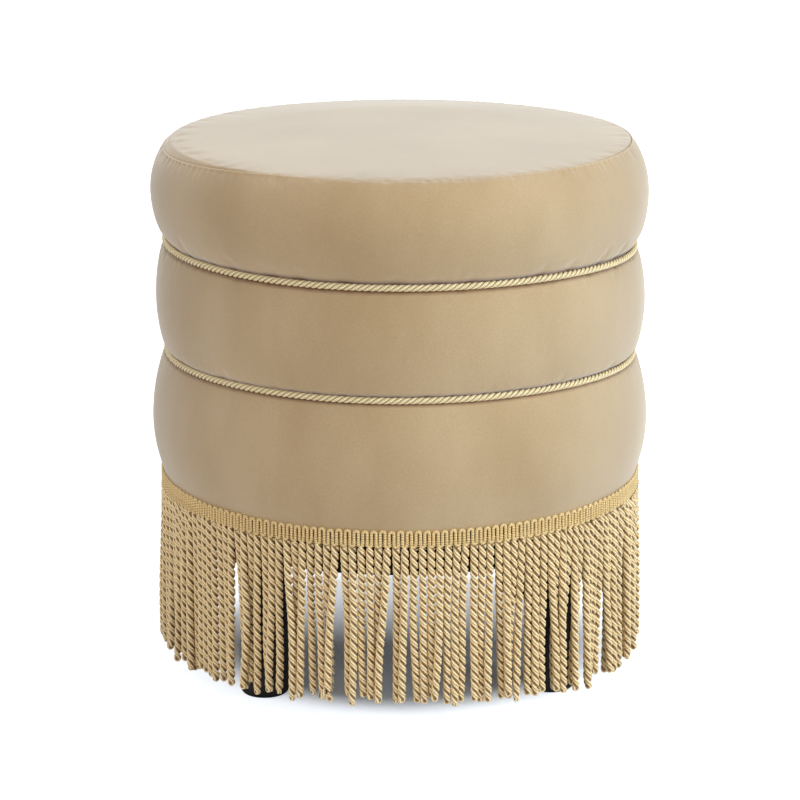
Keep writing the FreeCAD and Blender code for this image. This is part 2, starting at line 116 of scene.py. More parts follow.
def grid_faces(rows, columns, close_rows=False):
    """Quads over a grid of points whose columns close round."""
    row = np.arange(rows if close_rows else rows - 1)[:, None]
    column = np.arange(columns)[None, :]
    next_row = (row + 1) % rows
    next_column = (column + 1) % columns
    corners = [row * columns + column, row * columns + next_column,
               next_row * columns + next_column, next_row * columns + column]
    return np.stack([c + 0 * row + 0 * column for c in corners], axis=-1).reshape(-1, 4)


def grid_wrap(rows, columns, length, close_rows=False):
    """For each corner of grid_faces, how far along the grid it is in metres and its part of a turn."""
    row = np.arange(rows if close_rows else rows - 1)[:, None]
    column = np.arange(columns)[None, :]
    along = [row, row, row + 1, row + 1]
    round_ = [column, column + 1, column + 1, column]
    step = length / (rows if close_rows else rows - 1)
    pairs = [np.stack(np.broadcast_arrays(a * step, r / columns), axis=-1)
             for a, r in zip(along, round_)]
    return np.stack(pairs, axis=2).reshape(-1, 2)


def fill_mesh(name, points, face_sets, wraps=None):
    """A smooth mesh from arrays of points and of faces, with wrap coordinates if given."""
    mesh = bpy.data.meshes.new(name)
    mesh.vertices.add(len(points))
    mesh.vertices.foreach_set("co", np.asarray(points, np.float32).ravel())
    starts = []
    corners = []
    first = 0
    for faces in face_sets:
        starts.append(first + faces.shape[1] * np.arange(len(faces)))
        corners.append(faces.ravel())
        first += faces.size
    mesh.loops.add(first)
    mesh.loops.foreach_set("vertex_index", np.concatenate(corners).astype(np.int32))
    starts = np.concatenate(starts).astype(np.int32)
    mesh.polygons.add(len(starts))
    mesh.polygons.foreach_set("loop_start", starts)
    mesh.polygons.foreach_set("use_smooth", np.ones(len(starts), bool))
    if wraps is not None:
        layer = mesh.uv_layers.new(name="wrap")
        layer.data.foreach_set("uv", np.asarray(wraps, np.float32).ravel())
    mesh.update(calc_edges=True)
    mesh.validate()
    return mesh


def place(name, mesh, material, slot, *replaced):
    """A piece of the object that rides on the body and stands for some CAD nodes."""
    piece = bpy.data.objects.new(name, mesh)
    SCENE.collection.objects.link(piece)
    mesh.materials.append(material)
    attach(piece, "root")
    if replaced:
        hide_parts(*replaced)
    return piece


def unit(vectors):
    """Vectors of length 1."""
    return vectors / np.linalg.norm(vectors, axis=-1, keepdims=True)


def sweep(path, across, section, closed=False):
    """Points of a tube: for each point of the path, a section of radii laid from the direction across."""
    if closed:
        ahead = np.roll(path, -1, axis=-2) - np.roll(path, 1, axis=-2)
    else:
        ahead = np.gradient(path, axis=-2)
    ahead = unit(ahead)
    side = unit(across - ahead * np.sum(across * ahead, axis=-1, keepdims=True))
    up = np.cross(ahead, side)
    turn = angles_round(section.shape[-1])
    out = (section * np.cos(turn))[..., None] * side[..., None, :]
    over = (section * np.sin(turn))[..., None] * up[..., None, :]
    return path[..., None, :] + out + over


def ring_tubes(name, tubes, length):
    """One mesh of equal tubes that close round the object, each counted as this long."""
    steps, sides = tubes[0].shape[:2]
    faces = grid_faces(steps, sides, close_rows=True)
    faces = np.concatenate([faces + i * steps * sides for i in range(len(tubes))])
    wraps = np.tile(grid_wrap(steps, sides, length, close_rows=True), (len(tubes), 1))
    return fill_mesh(name, np.concatenate(tubes).reshape(-1, 3), [faces], wraps)


def yarn_section(sides, yarns, radius, flat, depth):
    """Radii of a bundle of yarns: scallops this deep round a circle or, if flat isn't 1, an oval."""
    turn = angles_round(sides)
    oval = radius / np.hypot(np.cos(turn), np.sin(turn) / flat)
    return oval * (1 - depth * (1 - np.abs(np.sin(yarns * turn / 2))))


def ripple(slowest, fastest):
    """A wavy line that closes round the object, about 1 high, from waves of these counts."""
    turn = angles_round(COLUMNS)
    wave = np.zeros(COLUMNS)
    for count in range(slowest, fastest + 1):
        wave += RANDOM.normal() * np.cos(count * turn + RANDOM.uniform(0, TAU))
    return wave / math.sqrt((fastest - slowest + 1) / 2)


# Materials.
def new_material(name, colour, roughness, **sockets):
    """A material and its shader, with constant values on the shader's sockets."""
    material = bpy.data.materials.new(name)
    material.use_nodes = True
    shader = material.node_tree.nodes["Principled BSDF"]
    shader.inputs["Base Color"].default_value = (*colour, 1)
    shader.inputs["Roughness"].default_value = roughness
    for socket, value in sockets.items():
        shader.inputs[socket.replace("_", " ")].default_value = value
    return material, shader


def add_node(material, kind, **values):
    """A node of a material or world, with values on properties or sockets of these names."""
    node = material.node_tree.nodes.new(kind)
    for key, value in values.items():
        if hasattr(node, key):
            setattr(node, key, value)
        else:
            node.inputs[key.replace("_", " ")].default_value = value
    return node


def link(material, source, socket, target, name):
    """A link from one node's socket to another's."""
    material.node_tree.links.new(source.outputs[socket], target.inputs[name])


def object_space(material, stretch=(1, 1, 1)):
    """The piece's own coordinates, stretched."""
    own = add_node(material, "ShaderNodeTexCoord")
    mapping = add_node(material, "ShaderNodeMapping", Scale=stretch)
    link(material, own, "Object", mapping, "Vector")
    return mapping


def wrap_space(material, stretch):
    """The wrap coordinates, stretched: along a yarn in metres and round it in turns."""
    wrap = add_node(material, "ShaderNodeUVMap", uv_map="wrap")
    mapping = add_node(material, "ShaderNodeMapping", Scale=stretch)
    link(material, wrap, "UV", mapping, "Vector")
    return mapping


def wrap_parts(material):
    """The two wrap coordinates as separate values, X and Y."""
    wrap = add_node(material, "ShaderNodeUVMap", uv_map="wrap")
    split = add_node(material, "ShaderNodeSeparateXYZ")
    link(material, wrap, "UV", split, "Vector")
    return split


def noise(material, space, scale, detail, roughness):
    """A noise texture in a space."""
    texture = add_node(material, "ShaderNodeTexNoise", Scale=scale, Detail=detail, Roughness=roughness)
    link(material, space, "Vector", texture, "Vector")
    return texture


def tone(material, source, socket, low, high, dark, light):
    """Colours between dark and light where a value goes from low to high."""
    ramp = add_node(material, "ShaderNodeValToRGB")
    ramp.color_ramp.elements[0].position = low
    ramp.color_ramp.elements[1].position = high
    ramp.color_ramp.elements[0].color = (*dark, 1)
    ramp.color_ramp.elements[1].color = (*light, 1)
    link(material, source, socket, ramp, "Fac")
    return ramp


def shaded(material, first, second):
    """One colour multiplied by another."""
    mix = add_node(material, "ShaderNodeMixRGB", blend_type="MULTIPLY", Fac=1.0)
    link(material, first, "Color", mix, "Color1")
    link(material, second, "Color", mix, "Color2")
    return mix


def bump(material, shader, source, socket, distance, strength):
    """Relief on a shader from a texture."""
    relief = add_node(material, "ShaderNodeBump", Strength=strength, Distance=distance)
    link(material, source, socket, relief, "Height")
    link(material, relief, "Normal", shader, "Normal")


def maths(material, operation, source, socket="Value", value=None):
    """A maths node on a value, with a second number if the operation takes one."""
    node = add_node(material, "ShaderNodeMath", operation=operation)
    link(material, source, socket, node, 0)
    if value is not None:
        node.inputs[1].default_value = value
    return node


def make_velvet():
    """Champagne velvet, shaded where it was stroked, with painted shade in the grooves and a painted
    highlight along the seat's seam.

    The wrap coordinates say how far out of a groove the pile is, and how near the seam.
    """
    material, shader = new_material("velvet", (0.44, 0.3, 0.16), 0.9, Sheen_Weight=1.0,
                                    Sheen_Roughness=0.48, Sheen_Tint=(1, 0.945, 0.86, 1),
                                    Specular_IOR_Level=0.2)
    stroked = noise(material, object_space(material, (1, 1, 0.5)), 11, 3, 0.5)
    nap = tone(material, stroked, "Fac", 0.32, 0.68, (0.43, 0.288, 0.145), (0.515, 0.362, 0.2))
    pile = noise(material, object_space(material), 900, 2, 0.6)
    tips = tone(material, pile, "Fac", 0.3, 0.7, (0.9, 0.9, 0.9), (1.06, 1.06, 1.06))
    split = wrap_parts(material)
    # Painted shade in the grooves: darker and browner where the pile lies deep in a groove.
    groove_shade = tone(material, split, "X", 0.2, 0.46, (0.42, 0.22, 0.08), (1, 1, 1))
    # Painted highlight: lighter and bluer on the rows next to the seat's seam.
    seam_highlight = tone(material, split, "Y", 0.15, 0.9, (1, 1, 1), (1.45, 1.54, 1.66))
    colour = shaded(material, nap, tips)
    colour = shaded(material, colour, groove_shade)
    colour = shaded(material, colour, seam_highlight)
    link(material, colour, "Color", shader, "Base Color")
    bump(material, shader, pile, "Fac", 0.25 * MM, 0.35)
    return material


def make_yarn(name, dark, light, yarns, inner, rib=None):
    """Rayon yarns: a painted highlight along their ridges, painted shade between them and on the side
    that faces inwards.

    That painted shade reaches inner of a turn to each side of its middle. Given a rib, the yarn gets
    painted shade between its windings, one at each length of rib.
    """
    material, shader = new_material(name, light, 0.36, Sheen_Weight=0.05, Sheen_Roughness=0.3,
                                    Specular_IOR_Level=0.45, Sheen_Tint=(1, 0.95, 0.85, 1))
    split = wrap_parts(material)
    ridge = maths(material, "SINE", maths(material, "MULTIPLY", split, "Y", yarns * math.pi))
    ridge = maths(material, "ABSOLUTE", ridge)
    # Painted highlight along each yarn's ridge and painted shade in the valleys between the yarns.
    ridge_highlight_and_valley_shade = tone(material, ridge, "Value", 0.12, 0.6, dark, light)
    facing = maths(material, "ABSOLUTE", maths(material, "SUBTRACT", split, "Y", 0.5))
    # Painted shade on the side of a ply or strand that faces its rope's or cord's middle, where the plies
    # meet.
    inner_shade = tone(material, facing, "Value", inner, inner + 0.12, (0.1, 0.045, 0.014), (1, 1, 1))
    colour = shaded(material, ridge_highlight_and_valley_shade, inner_shade)
    fibre = noise(material, wrap_space(material, (420, 30, 1)), 1.0, 2, 0.6)
    fibres = tone(material, fibre, "Fac", 0.3, 0.65, (0.78, 0.74, 0.68), (1.1, 1.1, 1.1))
    colour = shaded(material, colour, fibres)
    if rib is not None:
        # Painted shade in the grooves between the windings of the yarn, one at each rib.
        wave = maths(material, "SINE", maths(material, "MULTIPLY", split, "X", math.pi / rib))
        wave = maths(material, "ABSOLUTE", wave)
        rib_shade = tone(material, wave, "Value", 0.1, 0.7, (0.5, 0.42, 0.3), (1, 1, 1))
        colour = shaded(material, colour, rib_shade)
    link(material, colour, "Color", shader, "Base Color")
    bump(material, shader, fibre, "Fac", 0.3 * MM, 0.5)
    return material


def make_black_paint():
    """Black satin paint on wood, with a faint orange peel."""
    material, shader = new_material("black_paint", (0.012, 0.011, 0.011), 0.5, Specular_IOR_Level=0.3)
    grain = noise(material, object_space(material, (1, 1, 0.2)), 160, 4, 0.6)
    colour = tone(material, grain, "Fac", 0.35, 0.7, (0.008, 0.008, 0.008), (0.02, 0.018, 0.017))
    link(material, colour, "Color", shader, "Base Color")
    bump(material, shader, grain, "Fac", 0.15 * MM, 0.25)
    return material


def make_black_cloth():
    """Spun black dust cloth with its little dimples."""
    material, shader = new_material("black_cloth", (0.02, 0.02, 0.021), 0.95, Sheen_Weight=0.2)
    cells = add_node(material, "ShaderNodeTexVoronoi", Scale=420)
    link(material, object_space(material), "Vector", cells, "Vector")
    colour = tone(material, cells, "Distance", 0.1, 0.7, (0.014, 0.014, 0.015), (0.035, 0.035, 0.036))
    link(material, colour, "Color", shader, "Base Color")
    bump(material, shader, cells, "Distance", 0.3 * MM, 0.5)
    return material


def make_foam_finish():
    """Cream seating foam with open cells."""
    material, shader = new_material("foam", (0.78, 0.68, 0.42), 0.95)
    cells = add_node(material, "ShaderNodeTexVoronoi", Scale=600)
    link(material, object_space(material), "Vector", cells, "Vector")
    colour = tone(material, cells, "Distance", 0.05, 0.6, (0.6, 0.5, 0.28), (0.82, 0.73, 0.48))
    link(material, colour, "Color", shader, "Base Color")
    bump(material, shader, cells, "Distance", 0.5 * MM, 0.6)
    return material


def make_plywood():
    """Birch plywood: pale plies with darker glue lines at the edges."""
    material, shader = new_material("plywood", (0.62, 0.46, 0.28), 0.6)
    plies = add_node(material, "ShaderNodeTexWave", bands_direction="Z", Scale=105, Distortion=0.6)
    link(material, object_space(material), "Vector", plies, "Vector")
    lines = tone(material, plies, "Fac", 0.1, 0.4, (0.36, 0.23, 0.12), (0.64, 0.48, 0.3))
    grain = noise(material, object_space(material, (1, 14, 1)), 25, 4, 0.6)
    shade = tone(material, grain, "Fac", 0.3, 0.7, (0.82, 0.8, 0.76), (1.0, 1.0, 1.0))
    colour = shaded(material, lines, shade)
    link(material, colour, "Color", shader, "Base Color")
    bump(material, shader, grain, "Fac", 0.2 * MM, 0.4)
    return material


def make_timber():
    """Planed softwood with its grain upright."""
    material, shader = new_material("timber", (0.6, 0.42, 0.24), 0.65)
    grain = noise(material, object_space(material, (1, 1, 0.06)), 90, 5, 0.6)
    colour = tone(material, grain, "Fac", 0.35, 0.68, (0.42, 0.26, 0.13), (0.68, 0.5, 0.31))
    link(material, colour, "Color", shader, "Base Color")
    bump(material, shader, grain, "Fac", 0.2 * MM, 0.4)
    return material


def make_zinc():
    """Bright zinc plate, a little clouded."""
    material, shader = new_material("zinc_steel", (0.62, 0.63, 0.64), 0.35, Metallic=1.0)
    cloud = noise(material, object_space(material), 300, 3, 0.6)
    colour = tone(material, cloud, "Fac", 0.3, 0.7, (0.5, 0.51, 0.53), (0.7, 0.71, 0.72))
    link(material, colour, "Color", shader, "Base Color")
    dull = tone(material, cloud, "Fac", 0.3, 0.7, (0.28,) * 3, (0.45,) * 3)
    link(material, dull, "Color", shader, "Roughness")
    return material


VELVET = make_velvet()
# Each yarn's dark and light colours are the ends of its painted valley shade and ridge highlight.
CORD_YARN = make_yarn("cord_yarn", (0.42, 0.25, 0.08), (1.0, 0.85, 0.52), yarns=6, inner=0.2)
FRINGE_YARN = make_yarn("fringe_yarn", (0.3, 0.145, 0.045), (1.0, 0.775, 0.43), yarns=4, inner=0.16)
GIMP_YARN = make_yarn("gimp_yarn", (0.5, 0.28, 0.1), (1.0, 0.755, 0.36), yarns=8, inner=0.1, rib=1.9 * MM)
# The tape is a real part, but its near-black brown is painted shade for the slots inside and between the
# gimp's loops.
TAPE_YARN = make_yarn("tape_yarn", (0.03, 0.018, 0.008), (0.11, 0.06, 0.025), yarns=14, inner=0.0)
FINISHES = {
    "black_paint": make_black_paint(),
    "black_cloth": make_black_cloth(),
    "foam": make_foam_finish(),
    "plywood": make_plywood(),
    "timber": make_timber(),
    "zinc_steel": make_zinc(),
    "velvet": VELVET,
    "cord_yarn": CORD_YARN,
    "fringe_yarn": FRINGE_YARN,
}
FINISH_WORDS = [
    ("base_board", "black_paint"), ("dust_cover", "black_cloth"), ("foam", "foam"),
    ("post", "timber"), ("bolts", "zinc_steel"), ("nuts", "zinc_steel"), ("screws", "zinc_steel"),
    ("leg_", "black_paint"), ("cover_", "velvet"), ("_cord", "cord_yarn"), ("fringe", "fringe_yarn"),
]


def finish_of(node):
    """The finish of a CAD node, from its name; the wall, hoops and deck are plywood."""
    for word, finish in FINISH_WORDS:
        if word in node:
            return FINISHES[finish]
    return FINISHES["plywood"]


def finish_nodes():
    """Each CAD node gets its finish."""
    for name, node in NODES.items():
        for material_slot in node.material_slots:
            material_slot.material = finish_of(name)


# How the made-up fabric hangs a little off level. Angles run from the right-hand side to the back.
CORD_DROP = 1.9 * MM
CORD_DROP_RIGHT = 6.2 * MM
CORD_DROP_LEFT = 2.6 * MM
FAR_RIM_DROP = 3 * MM
SEAM_SHIFT_LEFT = 7.5 * MM
SEAM_SHIFT_FRONT = -7 * MM
SAG_FROM = 150 * MM
SAG_FULL = 200 * MM


def around(angle, centre, width):
    """A soft bump round the object, 1 at its centre; centre and width are in degrees."""
    off = (angle - math.radians(centre) + math.pi) % TAU - math.pi
    return np.exp(-(off / math.radians(width)) ** 2)


def sag(points):
    """The points let down as the fabric hangs: at the cords, most at the right, and at the far rim."""
    angle = np.arctan2(points[..., 1], points[..., 0])
    height = points[..., 2]
    radius = np.hypot(points[..., 0], points[..., 1])
    outside = np.clip((radius - SAG_FROM) / (SAG_FULL - SAG_FROM), 0, 1)
    both = CORD_DROP + CORD_DROP_RIGHT * around(angle, -9, 33)
    lower = CORD_DROP_LEFT * around(angle, -168, 30)
    rim = FAR_RIM_DROP * around(angle, 90, 60)
    drop = both * np.interp(height, [HEADER_TOP, LOWER_CORD, UPPER_CORD, SEAM_HEIGHT], [0, 1, 1, 0])
    drop = drop + lower * np.interp(height, [HEADER_TOP, LOWER_CORD, UPPER_CORD], [0, 1, 0])
    drop = drop + rim * np.interp(height, [UPPER_BELLY[1], SEAM_HEIGHT], [0, 1])
    return points - (drop * outside)[..., None] * UP


def seam_shift(angle):
    """How far the seat's seam is shifted down the shoulder: past it at the left, short of it in front."""
    return SEAM_SHIFT_LEFT * around(angle, -173, 35) + SEAM_SHIFT_FRONT * around(angle, -90, 35)


def make_foam(node):
    """A foam pad that follows the cover over it."""
    mesh = NODES[node].data.copy()
    points = np.empty(len(mesh.vertices) * 3, np.float32)
    mesh.vertices.foreach_get("co", points)
    mesh.vertices.foreach_set("co", sag(points.reshape(-1, 3)).astype(np.float32).ravel())
    mesh.materials.clear()
    place("shaped_" + node, mesh, FINISHES["foam"], "foam", node)


# Velvet.
COVER_SWELL = 1.7 * MM
SEAT_SWELL = 0.8 * MM
CLOTH_STRIDE = 2
CLOTH_FRAMES = 14
CLOTH_SLACK = 0.0032  # a share of its own length
CLOTH_STEPS = 4
CLOTH_MASS = 0.3
CLOTH_BENDING = 4
CLOTH_PRESSURE = 4
# The velvet's painted shade in the grooves is measured over GROOVE_REACH from a groove.
GROOVE_REACH = 20 * MM
FOLD_REACH = 5 * MM
FOLD_COUNTS = (60, 170)
SWELL = 0.45 * MM
SWELL_COUNTS = (2, 12)
TUCK_COUNTS = (120, 230)
TUCK_ROWS = 2.0  # from the seam to where a tuck is deepest
# The velvet's painted highlight along the seat's seam fades over SEAM_ROWS rows.
SEAM_ROWS = 1.7  # over which the light line along the seam fades
SEAT_FREE = 60 * MM  # the seat's plain middle
SEAM_AT = SEAM_RADIUS - SEAT_FREE
GROOVE_ROUNDING = 2 * MM
SHOULDER_ROUNDING = 1.6 * MM
FINE_STEPS = 900
ARC_STEPS = 60
EDGE_CROWDING = 0.62  # 0 spaces the rows evenly
GROOVE_HALF = 0.8 * MM
LIP_CORNER = (3 * MM, 1.5 * MM)
LIP_OVER = 0.4 * MM
INSIDE_RADIUS = GROOVE_RADIUS - 2 * MM
INSIDE_RISE = 3 * MM
TUCK_WIDTH = 1.2
SEAT_EASE = 1.3
SEAT_RINGS = np.array([52, 40, 28, 16, 6, 1.5]) * MM
RIM_THICKNESS = 1.2 * MM
PANEL_BOTTOM = SEAM_HEIGHT - 2.5 * MM
PANEL_INSIDE = 190 * MM
RIM_INSIDE = np.array([0.985, 0.985, 1])


def belly_arc(belly, edge):
    """Radius and height along the arc that is upright at the roll's widest point and ends at edge."""
    reach = belly[0] - edge[0]
    rise = edge[1] - belly[1]
    bend = (reach ** 2 + rise ** 2) / (2 * reach)
    swing = np.linspace(0, math.asin(rise / bend), ARC_STEPS)
    return np.stack([belly[0] - bend * (1 - np.cos(swing)), belly[1] + bend * np.sin(swing)], axis=1)


def groove_side(cord, side):
    """Radius and height from inside a groove out to its lip, above the cord or below it."""
    inside = (GROOVE_RADIUS, cord + side * GROOVE_HALF)
    corner = (LIP_RADIUS - LIP_CORNER[0], cord + side * (LIP_RISE - LIP_CORNER[1]))
    lip = (LIP_RADIUS, cord + side * (LIP_RISE + LIP_OVER))
    return np.array([inside, corner, lip])


def lengths_along(line):
    """How far along the line each of its points is."""
    return np.concatenate([[0], np.cumsum(np.linalg.norm(np.diff(line, axis=0), axis=1))])


def points_at(line, distance):
    """Points of the line at these distances along it."""
    length = lengths_along(line)
    return np.interp(distance, length, line[:, 0]), np.interp(distance, length, line[:, 1])


def rounded(line, radius):
    """The line with its corners rounded off to about a radius."""
    total = lengths_along(line)[-1]
    fine = np.stack(points_at(line, np.linspace(0, total, FINE_STEPS)), axis=1)
    reach = int(FINE_STEPS * radius / total)
    kernel = np.hanning(2 * reach + 3)
    kernel = kernel / kernel.sum()
    reach += 1
    ends = [np.repeat(fine[:1], reach, axis=0), fine, np.repeat(fine[-1:], reach, axis=0)]
    longer = np.concatenate(ends)
    return np.stack([np.convolve(longer[:, i], kernel, mode="valid") for i in (0, 1)], axis=1)


def crowded():
    """Where the rows of a skin lie, in parts from 0 to 1, closer together near both edges."""
    part = np.linspace(0, 1, BAND_ROWS)
    return (part - EDGE_CROWDING * np.sin(TAU * part) / TAU)[:, None]


def turned_skin(line, start, end):
    """Points of a skin: the stretch of a line from start to end, which may differ round the object."""
    angle = angles_round(COLUMNS)
    distance = start + (end - start) * crowded()
    radius, height = points_at(line, distance + np.zeros(COLUMNS))
    return ring_point(radius, angle[None], height)


def settle(name, points, most):
    """A skin of velvet held at both edges and let go as cloth, but moved less than most."""
    start = points[:, ::CLOTH_STRIDE]
    rows, columns = start.shape[:2]
    mesh = fill_mesh(name, start.reshape(-1, 3), [grid_faces(rows, columns)])
    skin = bpy.data.objects.new(name, mesh)
    SCENE.collection.objects.link(skin)
    held = skin.vertex_groups.new(name="held")
    edges = list(range(2 * columns)) + list(range((rows - 2) * columns, rows * columns))
    held.add(edges, 1.0, "REPLACE")
    cloth = skin.modifiers.new("cloth", "CLOTH")
    cloth.settings.quality = CLOTH_STEPS
    cloth.settings.mass = CLOTH_MASS
    cloth.settings.bending_stiffness = CLOTH_BENDING
    cloth.settings.vertex_group_mass = "held"
    cloth.settings.use_pressure = True
    cloth.settings.uniform_pressure_force = CLOTH_PRESSURE
    cloth.settings.shrink_min = -CLOTH_SLACK
    cloth.settings.effector_weights.gravity = 0
    cloth.point_cache.frame_start = 1
    cloth.point_cache.frame_end = CLOTH_FRAMES
    for moment in range(1, CLOTH_FRAMES + 1):
        SCENE.frame_set(moment)
    settled = skin.evaluated_get(bpy.context.evaluated_depsgraph_get()).data
    moved = np.empty(start.size, np.float32)
    settled.vertices.foreach_get("co", moved)
    moved = moved.reshape(start.shape) - start
    far = np.linalg.norm(moved, axis=-1, keepdims=True)
    moved = moved * np.tanh(far / most) * most / np.maximum(far, 1e-9)
    SCENE.frame_set(1)
    bpy.data.objects.remove(skin)
    bpy.data.meshes.remove(mesh)
    between = (moved + np.roll(moved, -1, axis=1)) / 2
    return points + np.stack([moved, between], axis=2).reshape(points.shape)


def gathers(points, low, high):
    """The skin with folds this deep that run in from its first and last rows, and a slight swell."""
    step = np.linalg.norm(np.diff(points, axis=0), axis=-1).mean(axis=1)
    from_low = np.concatenate([[0], np.cumsum(step)])
    from_high = from_low[-1] - from_low
    folds = low * np.outer(fold_depth(from_low, FOLD_REACH), ripple(*FOLD_COUNTS))
    folds += high * np.outer(fold_depth(from_high, FOLD_REACH), ripple(*FOLD_COUNTS))
    swell = SWELL * np.outer(np.sin(math.pi * from_low / from_low[-1]), ripple(*SWELL_COUNTS))
    return points + unit(points * LEVEL) * (folds + swell)[..., None]


def puckers(points, row_from_edge, depth):
    """The skin with the tiny tucks that the seat's stitches pull, along the rows next to the seam."""
    tucks = depth * np.outer(fold_depth(row_from_edge, TUCK_ROWS), ripple(*TUCK_COUNTS))
    return points + (UP + unit(points * LEVEL)) * tucks[..., None]


def fold_depth(distance, reach):
    """How deep a fold is at a distance from the edge: 0 at the stitches and 1 one reach away."""
    part = distance / reach
    return 2.7 * part * np.exp(-part)


def tucked(points, row_from_edge, bead, depth):
    """The skin drawn in and down at a seam, with a bead just beside it, less with each row away."""
    away = row_from_edge / TUCK_WIDTH
    pull = depth * np.exp(-away ** 2) - bead * np.exp(-(away - 1) ** 2)
    inward = -0.7 * (unit(points * LEVEL) + UP)
    return points + inward * pull[:, None, None]


def out_of_groove(skin, lower_groove, upper_groove):
    """How far each row of a skin is out of its grooves: 0 behind the cord, 1 well away from it."""
    step = np.linalg.norm(np.diff(skin, axis=0), axis=-1).mean(axis=1)
    from_low = np.concatenate([[0], np.cumsum(step)])
    far = np.full(len(skin), GROOVE_REACH)
    if lower_groove:
        far = np.minimum(far, from_low)
    if upper_groove:
        far = np.minimum(far, from_low[-1] - from_low)
    return far / GROOVE_REACH


def close_band(name, skin, inside, grooves, *replaced):
    """A band with its skin outside and a plain face inside; grooves says which edges lie in one."""
    angle = angles_round(COLUMNS)
    back = [ring_point(radius, angle, height)[None] for radius, height in inside]
    points = sag(np.concatenate([skin] + back))
    faces = grid_faces(len(points), COLUMNS, close_rows=True)
    # How far each row is out of its grooves, for the velvet's painted shade in the grooves.
    out = out_of_groove(skin, *grooves)
    out = np.concatenate([out, out[-1:], np.zeros(len(inside) - 1)])
    # A mask of the rows next to the seat's seam, for the velvet's painted highlight there.
    seam = np.exp(-(np.arange(len(skin))[::-1] / SEAM_ROWS) ** 2) * (not grooves[1])
    seam = np.concatenate([seam, np.zeros(len(inside))])
    row = faces.ravel() // COLUMNS
    mesh = fill_mesh(name, points.reshape(-1, 3), [faces], np.stack([out[row], seam[row]], axis=1))
    band = place(name, mesh, VELVET, "velvet", *replaced)
    smooth = band.modifiers.new("smooth", "SUBSURF")
    smooth.levels = 1
    smooth.render_levels = 1


def shoulder_line():
    """Radius and height from the seat's crown over the edge and down the upper roll into its groove."""
    crown = [(radius, seat_height(radius)) for radius in np.linspace(SEAT_FREE, SEAM_RADIUS, ARC_STEPS)]
    seam = (SEAM_RADIUS + 0.3 * MM, SEAM_HEIGHT - 0.3 * MM)
    over = belly_arc(UPPER_BELLY, seam)[::-1]
    down = belly_arc(UPPER_BELLY, (LIP_RADIUS, UPPER_CORD + LIP_RISE))
    line = np.concatenate([crown, over, down, groove_side(UPPER_CORD, 1)[::-1]])
    return rounded(line, SHOULDER_ROUNDING)


def seat_height(radius):
    """The height of the crowned seat at a radius."""
    return SEAT_TOP - SEAT_CROWN * (radius / SEAM_RADIUS) ** 2


def make_upper_band():
    """The velvet roll round the seat, from the upper cord to the seat's seam."""
    line = shoulder_line()
    angle = angles_round(COLUMNS)
    skin = turned_skin(line, lengths_along(line)[-1], SEAM_AT + seam_shift(angle))
    skin = settle("upper_skin", skin, COVER_SWELL)
    row_from_seam = np.arange(BAND_ROWS)[::-1]
    skin = gathers(skin, low=0.1 * MM, high=0.06 * MM)
    skin = puckers(skin, row_from_seam, depth=0.34 * MM)
    skin = tucked(skin, row_from_seam, bead=0.8 * MM, depth=0.3 * MM)
    inside = [(SEAM_RADIUS - 0.3 * MM, SEAM_HEIGHT - 6 * MM),
              (UPPER_BELLY[0] - COVER_THICKNESS, UPPER_BELLY[1]),
              (INSIDE_RADIUS, UPPER_CORD + INSIDE_RISE)]
    close_band("velvet_upper_band", skin, inside, (True, False), "cover_upper_band")


def make_middle_band():
    """The velvet roll between the two cords."""
    arc_down = belly_arc(MIDDLE_BELLY, (LIP_RADIUS, LOWER_CORD + LIP_RISE))[::-1]
    arc_up = belly_arc(MIDDLE_BELLY, (LIP_RADIUS, UPPER_CORD - LIP_RISE))
    line = [groove_side(LOWER_CORD, 1), arc_down, arc_up, groove_side(UPPER_CORD, -1)[::-1]]
    line = rounded(np.concatenate(line), GROOVE_ROUNDING)
    skin = turned_skin(line, 0, lengths_along(line)[-1])
    skin = settle("middle_skin", skin, COVER_SWELL)
    skin = gathers(skin, low=0.1 * MM, high=0.1 * MM)
    inside = [(INSIDE_RADIUS, UPPER_CORD - INSIDE_RISE),
              (MIDDLE_BELLY[0] - COVER_THICKNESS, MIDDLE_BELLY[1]),
              (INSIDE_RADIUS, LOWER_CORD + INSIDE_RISE)]
    close_band("velvet_middle_band", skin, inside, (True, True), "cover_middle_band")


def make_lower_band():
    """The velvet roll over the fringe, with its hem behind the fringe's header."""
    hem = np.array([(HEM_RADIUS - 4 * MM, HEADER_BOTTOM + 0.4 * MM),
                    (HEM_RADIUS - 0.3 * MM, HEADER_BOTTOM + 1.2 * MM)])
    arc_down = belly_arc(LOWER_BELLY, (HEM_RADIUS, HEADER_TOP))[::-1]
    arc_up = belly_arc(LOWER_BELLY, (LIP_RADIUS, LOWER_CORD - LIP_RISE))
    line = np.concatenate([hem, arc_down, arc_up, groove_side(LOWER_CORD, -1)[::-1]])
    line = rounded(line, GROOVE_ROUNDING)
    skin = turned_skin(line, 0, lengths_along(line)[-1])
    skin = settle("lower_skin", skin, COVER_SWELL)
    skin = gathers(skin, low=0.0, high=0.1 * MM)
    inside = [(INSIDE_RADIUS, LOWER_CORD - INSIDE_RISE),
              (LOWER_BELLY[0] - COVER_THICKNESS, LOWER_BELLY[1]),
              (HEM_RADIUS - COVER_THICKNESS, HEADER_TOP),
              (HEM_RADIUS - 6 * MM, HEADER_BOTTOM + 3 * MM)]
    close_band("velvet_lower_band", skin, inside, (False, True), "cover_lower_band")


